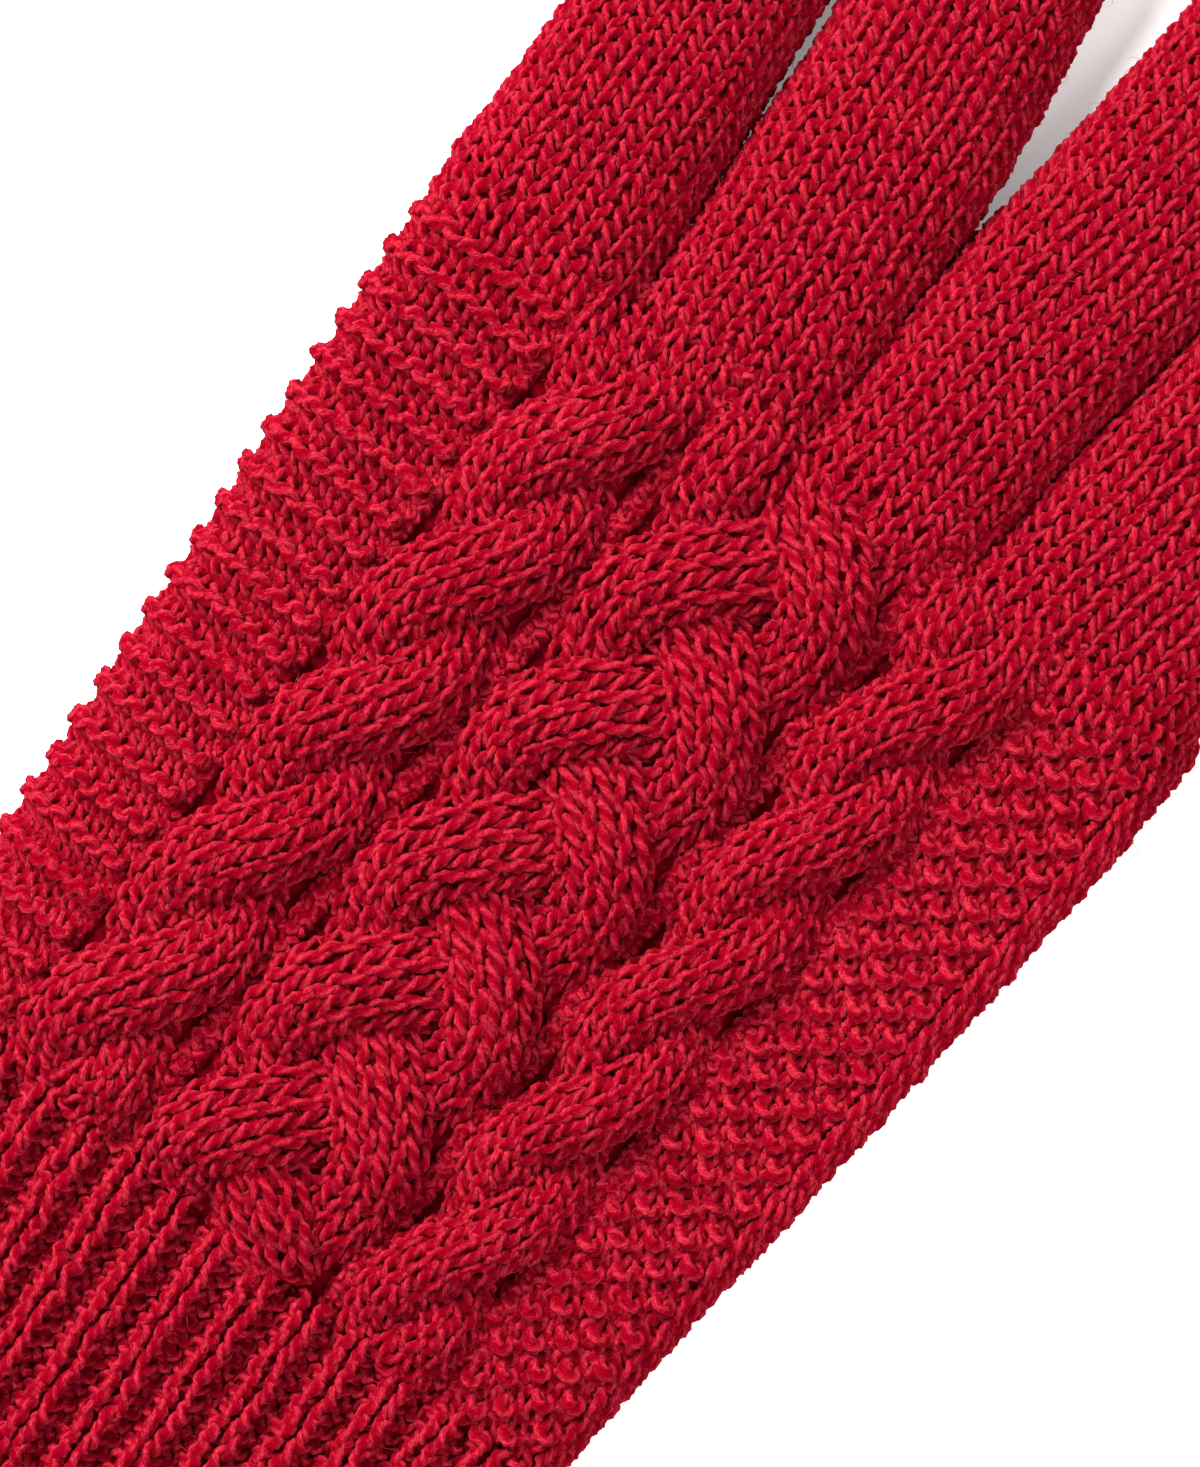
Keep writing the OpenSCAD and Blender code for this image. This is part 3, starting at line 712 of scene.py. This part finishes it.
def garter(rows, wale):
    """Rows knit and purl by turns, until the finger's plain knitting begins."""
    plain = rows > PLAIN_ROW
    return np.where(plain | (np.round(rows).astype(int) % 2 == 0), 1.0, -1.0) + 0 * wale


def moss(rows, wale):
    """Knit and purl by turns both up and across, until the finger's plain knitting begins."""
    plain = rows > PLAIN_ROW
    return np.where(plain | ((np.round(rows).astype(int) + wale) % 2 == 0), 1.0, -1.0)


# how the stitches of each fabric differ from plain ones
GARTER = {"depth": 0.65, "swing": 0.21, "loop": 1.35, "full": 1.22}
MOSS = {"depth": 0.8, "swing": 0.22, "loop": 1.4, "full": 1.22}
EDGE = {"swing": 0.12, "full": 1.12}
RIB = {"depth": 0.55, "swing": 0.14, "full": 1.10}


def garter_ridges(u, v):
    """Every pair of rows stands up as one ridge, with a furrow before the next."""
    return 0.55 * np.cos(math.pi * (v + 0.5)) * (1 - smooth(*RELIEF_FADE, v))


def moss_bumps(u, v):
    """Each purl stitch stands up as a bump, with holes between the bumps."""
    return 0.34 * np.cos(math.pi * (u - 0.5)) * np.cos(math.pi * (v + 0.7)) * (1 - smooth(*RELIEF_FADE, v))


def rib(rows, wale):
    """A knit stitch and a purl one, over and over."""
    return np.where(np.mod(wale, 2) == 1, -1.0, 1.0) + 0 * rows


def skin_rows(first, last):
    """Where the skin behind rows first to last - 1 starts and ends."""
    return first - SKIN_PAST, last - 1 + SKIN_PAST


def settle(piece, slot, nodes, body, onto=None, start=None, end=None):
    """Hides a finished piece's CAD nodes and parents the piece to its body; a piece given a second body only
    has its transform baked into its mesh.
    start and end are distances along the glove, in millimetres from the cuff seam. They are not used."""
    if nodes:
        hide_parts(*nodes)
    if onto is None:
        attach(piece, body)
        return
    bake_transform(piece)


# the back of the hand
hand_skin = skin_rows(0, len(HAND_ROWS))
for group, kind, how, relief in (("little_side_garter", garter, GARTER, garter_ridges),
                                 ("index_side_garter", moss, MOSS, moss_bumps),
                                 ("index_edge_wales", knit, EDGE, None)):
    surface, wales = back_surface(group)
    skein = Skein().knit(surface, wales, HAND_ROWS, kind, relief=relief, **how)
    skein.back(surface, wales, *hand_skin, finer=2, relief=relief)
    settle(skein.make(group + "_knit", RED), "knit_yarn", [group], "hand")

skein = Skein()
for channel in ("left_channel_a", "left_channel_b", "right_channel_a", "right_channel_b"):
    surface, wales = back_surface(channel)
    skein.knit(surface, wales, HAND_ROWS, purl, overhang=0.5, dive=0.4)
skein.back(whole_back, PALM_WALES, *hand_skin, lift=-0.8)
settle(skein.make("back_panel_knit", RED), "knit_yarn", ["back_panel"], "hand")

CABLES = {"left_rope": ["left_cable_strand_a", "left_cable_strand_b"],
          "plait": ["plait_strand_a", "plait_strand_b", "plait_strand_c"],
          "right_rope": ["right_cable_strand_a", "right_cable_strand_b"]}
for group, nodes in CABLES.items():
    for k, node in enumerate(nodes):
        surface = strand_surface(group, k, len(nodes))
        skein = Skein().knit(surface, 3, HAND_ROWS, knit, overhang=0.35, dive=1.0, full=1.08)
        skein.back(surface, 3, *hand_skin, finer=2)
        settle(skein.make(node + "_knit", RED), "cable_yarn", [node], "hand")

# the palm, in three bands
for k, (first, last) in enumerate(((0, 15), (15, 30), (30, 45))):
    skein = Skein().knit(whole_palm, PALM_WALES, np.arange(first, last), knit)
    skein.back(whole_palm, PALM_WALES, *skin_rows(first, last))
    settle(skein.make(f"palm_knit_{k + 1}", RED), "knit_yarn", ["palm_panel"] if k == 0 else [], "hand")

# ---------------------------------------------------------------- fingers
BLEND_HALF = 0.14           # half the length of a finger's bend span, as a share of the finger, which only sets the unread start and end given to settle
CUTS = (0.18, 0.52, 0.84)   # shares of a finger's length where its pieces meet
FINGER_JOINTS = ("knuckle", "bend", "end_bend")
FEWEST = 5                  # stitches in the smallest round of a tip
TIP_PAST = 2.0              # rows that the skin runs on past the last round, to close the tip


def tube_piece(name, surface, wales, turn, span, count):
    """Rows of a tube that has count rows in all. Over its tip the rounds have fewer and fewer stitches."""
    first, last = span
    rows = np.arange(first, last)
    skein = Skein()
    full = rows[turn(rows) <= TIP_TURN]
    if len(full):
        skein.knit(surface(wales), wales, full, knit, closed=True)
    for row in rows[turn(rows) > TIP_TURN]:
        fewer = max(FEWEST, int(round(wales * math.cos(turn(row)) ** 0.9)))
        skein.knit(surface(fewer), fewer, [row], knit, closed=True)
    start, end = skin_rows(first, last)
    skein.back(surface(wales), wales, start, last + TIP_PAST if last == count else end, closed=True)
    return skein.make(name, RED)


for name, f in fingers.items():
    rows = np.arange(f.rows)
    y = f.y_of(rows)
    edge = [0] + [int(np.searchsorted(y, share * f.length)) for share in CUTS] + [f.rows]
    knuckle, bend, end_bend = (joint_place(f"{name}_{joint}")[1] - SEAM[1] for joint in FINGER_JOINTS)
    spread = BLEND_HALF * f.length
    base, middle, end = (f"{name}_finger_{part}" for part in ("base", "middle", "end"))
    follows = {"base": ([base], "hand", base, ROOT_V - 0.5, knuckle + CUTS[0] * f.length - 1.6),
               "middle": ([middle], base, middle, bend - spread, bend + spread),
               "end": ([end], middle, end, end_bend - spread, end_bend + spread),
               "tip": ([f"{name}_finger_tip"], end)}
    for k, (part, how) in enumerate(follows.items()):
        piece = tube_piece(f"{name}_finger_{part}_knit", f.surface, f.wales, f.turn, edge[k:k + 2], f.rows)
        settle(piece, "knit_yarn", *how)

# ---------------------------------------------------------------- the webs between the fingers
WEB_ROW = 1.55
WEB_WALES, WEB_ROWS = 3, 4
WEB_TOP, WEB_HALF = 6.2, 0.9  # height of its first row, and half its width


def web_surface(x, v_mm):
    """A little saddle between two fingers: stitches across it, rows down it."""
    def place(u, v):
        across = u / (WEB_WALES / 2) - 1
        z = WEB_TOP - v * WEB_ROW
        y = v_mm + 1.3 * across ** 2 - 0.35 * ((z - FINGER_Z) / 3) ** 2
        return np.stack([x + WEB_HALF * across, y, z], -1)
    return place


for a, b in (("little", "ring"), ("ring", "middle"), ("middle", "index")):
    left, right = fingers[a], fingers[b]
    x = (left.root[0] + left.half_width(0) + right.root[0] - right.half_width(0)) / 2
    surface = web_surface(x, ROOT_V + 0.5)
    skein = Skein().knit(surface, WEB_WALES, np.arange(WEB_ROWS), knit)
    skein.back(surface, WEB_WALES, -0.5, WEB_ROWS - 0.5)
    settle(skein.make(f"{a}_{b}_web_knit", RED), "knit_yarn", [f"{a}_{b}_bridge"], "hand")

# ---------------------------------------------------------------- thumb
THUMB_WALES = 20
THUMB_Z, THUMB_H, THUMB_A = 3.75, 2.45, 8.7  # middle height, half thickness and half width
THUMB_R = 2.9               # how tightly its tube folds at its sides
swing, thumb_bend = joint_place("thumb_swing") - SEAM, joint_place("thumb_bend") - SEAM
THUMB_START = thumb_low[1] + 0.8
THUMB_STRAIGHT = thumb_high[1] - YARN_R - THUMB_A - THUMB_START
THUMB_ROWS = int((THUMB_STRAIGHT + THUMB_A * TIP_ROWS) / FINGER_ROW)


def thumb_turn(v):
    return np.clip((v * FINGER_ROW - THUMB_STRAIGHT) / THUMB_A, 0, LAST_TURN)


def thumb_surface(wales):
    """The thumb's flat tube under the palm. It comes out of the palm's step as a small round and widens."""
    def place(u, v):
        s, turn = v * FINGER_ROW, thumb_turn(v)
        y = THUMB_START + np.minimum(s, THUMB_STRAIGHT) + THUMB_A * np.sin(turn)
        root = 1 - smooth(-1, 8, s)
        a = (THUMB_A - 2.2 * root) * np.cos(turn)
        from_end = THUMB_A * (1 - np.sin(turn))
        h = THUMB_H * np.sqrt(1 - TIP_THIN * np.clip(1 - from_end / THUMB_TIP, 0, 1) ** 2) * (1 - 0.45 * root)
        x, z, _, _ = stadium(u / wales, a, np.minimum(THUMB_R, a * 0.98), h)
        return np.stack([swing[0] + x, y, THUMB_Z + z + 1.4 * root], -1)
    return place


def thumb_row(v_mm):
    return int(round((v_mm - THUMB_START) / FINGER_ROW))


marks = [0, thumb_row(swing[1] - 6.5), thumb_row(swing[1] + 10.5), thumb_row(thumb_bend[1] + 9.5),
         THUMB_ROWS]
thumb_follows = {"gusset": ("hand",),
                 "base": ("hand", "thumb_base", swing[1] - 8, swing[1] + 8),
                 "end": ("thumb_base", "thumb_end", thumb_bend[1] - 2.5, thumb_bend[1] + 8.5),
                 "tip": ("thumb_end",)}
for k, (part, how) in enumerate(thumb_follows.items()):
    span = marks[k:k + 2]
    piece = tube_piece(f"thumb_{part}_knit", thumb_surface, THUMB_WALES, thumb_turn, span, THUMB_ROWS)
    settle(piece, "knit_yarn", [f"thumb_{part}"], *how)

# ---------------------------------------------------------------- cuff
CUFF_ROW = 1.65
CUFF_RIBS = 30
CUFF_WALES = 2 * CUFF_RIBS
RIB_SHARE = 0.60            # share of a rib's pitch that its knit stitch takes
CUFF_Z, CUFF_H = 5.5, 3.35  # middle height, and half thickness
CUFF_R = 4.3                # how tightly the tube folds at its two edges
RIB_RISE = 1.85             # from the bottom of a purl furrow to the top of a rib
RIB_UNDER = 0.55            # share of that on the side that lies on the table
CUFF_DRIFT = 4.5            # the hem lies this far towards the index side
CUFF_HALF = (38.3, 35.5)    # half widths at the seam and at the hem
CUFF_BEND = 20.0            # length of the cuff's bend span at the wrist, passed to settle as an end it does not read
CUFF_HEM = -CUFF_LEN + 1.6  # first row above the cast-on edge
CUFF_ROWS = int((-1.4 - CUFF_HEM) / CUFF_ROW) + 1


def cuff_surface(u, v):
    v_mm = CUFF_HEM + v * CUFF_ROW
    share = -v_mm / CUFF_LEN
    rib_at = np.floor(u / 2)
    part = np.interp(u - 2 * rib_at, [0, 1, 2], [0, RIB_SHARE, 1.0])
    t = (rib_at + part + 0.5 - RIB_SHARE / 2) / CUFF_RIBS
    a = CUFF_HALF[0] + (CUFF_HALF[1] - CUFF_HALF[0]) * share
    tuck = smooth(-7, 0, v_mm)
    x, z, nx, nz = stadium(t, a, CUFF_R, CUFF_H - 0.15 * tuck)
    valley = np.abs((part - (1 + RIB_SHARE) / 2 + 0.5) % 1.0 - 0.5)
    relief = RIB_RISE * (smooth(0.06, 0.34, valley) - 0.66) * (1 - 0.15 * tuck)
    relief = relief * np.where(nz < 0, RIB_UNDER, 1.0)
    centre = CUFF_CENTRE + CUFF_DRIFT * share
    return np.stack([centre + x + nx * relief, v_mm + 0 * x, CUFF_Z + z + nz * relief], -1)


BANDS = 5
for k in range(BANDS):
    first, last = CUFF_ROWS * k // BANDS, CUFF_ROWS * (k + 1) // BANDS
    skein = Skein().knit(cuff_surface, CUFF_WALES, np.arange(first, last), rib, closed=True, **RIB)
    skein.back(cuff_surface, CUFF_WALES, *skin_rows(first, last), closed=True)
    nodes = {0: ["cuff_tube"], BANDS - 1: ["cuff_ribs"]}.get(k, [])
    settle(skein.make(f"cuff_rib_knit_{k + 1}", RED), "rib_yarn", nodes, "hand", "cuff", 0, -CUFF_BEND)


def cast_on():
    """The cast-on edge: two yarns twisted round each other, a turn to a stitch."""
    steps = 12
    u = np.arange(CUFF_WALES * steps + 1) / steps
    skein = Skein()
    for k in range(2):
        turn = 2 * math.pi * u + math.pi * k
        v = -1.1 + 0.34 * np.cos(turn)
        centres, normals = lay(cuff_surface, u[None], v[None], 0.55 * np.sin(turn)[None])
        skein.add(centres, normals, np.full((1, len(u)), 0.95), closed=True)
    return skein


settle(cast_on().make("cast_on_edge_knit", RED), "rib_yarn", ["cast_on_edge"], "cuff")


# ---------------------------------------------------------------- floor, light, camera, all in metres
LIGHTS = (("key", (-0.60, 0.16, 0.50), 0.5, 20), ("fill", (0.6, -0.2, 0.8), 0.8, 7))  # place, size, power
WORLD_LIGHT = 0.91
VIEW_HEIGHT = 0.1384        # what the camera takes in, along the picture's longer side
VIEW_MIDDLE = (-1.4, 57.6)  # what it looks at, in millimetres from the cuff seam
VIEW_TURN = 39.0


def stage_floor():
    mesh = bpy.data.meshes.new("floor")
    size = 2.0
    corners = [(-size, -size, 0), (size, -size, 0), (size, size, 0), (-size, size, 0)]
    mesh.from_pydata(corners, [], [(0, 1, 2, 3)])
    floor = bpy.data.objects.new("floor", mesh)
    floor.location.z = -0.0001
    bpy.context.scene.collection.objects.link(floor)
    material, tree, shader = node_tree("paper_floor")
    shader.inputs["Base Color"].default_value = (0.92, 0.92, 0.92, 1)
    shader.inputs["Roughness"].default_value = 0.9
    shader.inputs["Emission Color"].default_value = (1, 1, 1, 1)
    shader.inputs["Emission Strength"].default_value = 0.2
    mesh.materials.append(material)


def area_light(name, place, size, power):
    """A soft round light, aimed at the glove."""
    data = bpy.data.lights.new(name, "AREA")
    data.shape = "DISK"
    data.size = size
    data.energy = power
    light = bpy.data.objects.new(name, data)
    light.location = place
    light.rotation_euler = (-Vector(place)).to_track_quat("-Z", "Y").to_euler()
    bpy.context.scene.collection.objects.link(light)


def camera_above():
    """Looks straight down, turned so that the glove's axis runs from lower left to upper right."""
    lens, sensor = 100.0, 36.0
    data = bpy.data.cameras.new("camera")
    data.lens, data.sensor_width = lens, sensor
    data.clip_start, data.clip_end = 0.01, 10
    camera = bpy.data.objects.new("camera", data)
    middle = (SEAM[:2] + np.array(VIEW_MIDDLE)) * MM
    camera.location = (middle[0], middle[1], 0.010 + VIEW_HEIGHT * lens / sensor)
    camera.rotation_euler = (0, 0, math.radians(VIEW_TURN))
    bpy.context.scene.collection.objects.link(camera)
    bpy.context.scene.camera = camera


stage_floor()
for light in LIGHTS:
    area_light(*light)
world = bpy.data.worlds.new("studio")
bpy.context.scene.world = world
world.use_nodes = True
world.node_tree.nodes["Background"].inputs["Color"].default_value = (1, 1, 1, 1)
world.node_tree.nodes["Background"].inputs["Strength"].default_value = WORLD_LIGHT
camera_above()
bpy.context.scene.view_settings.view_transform = "Standard"
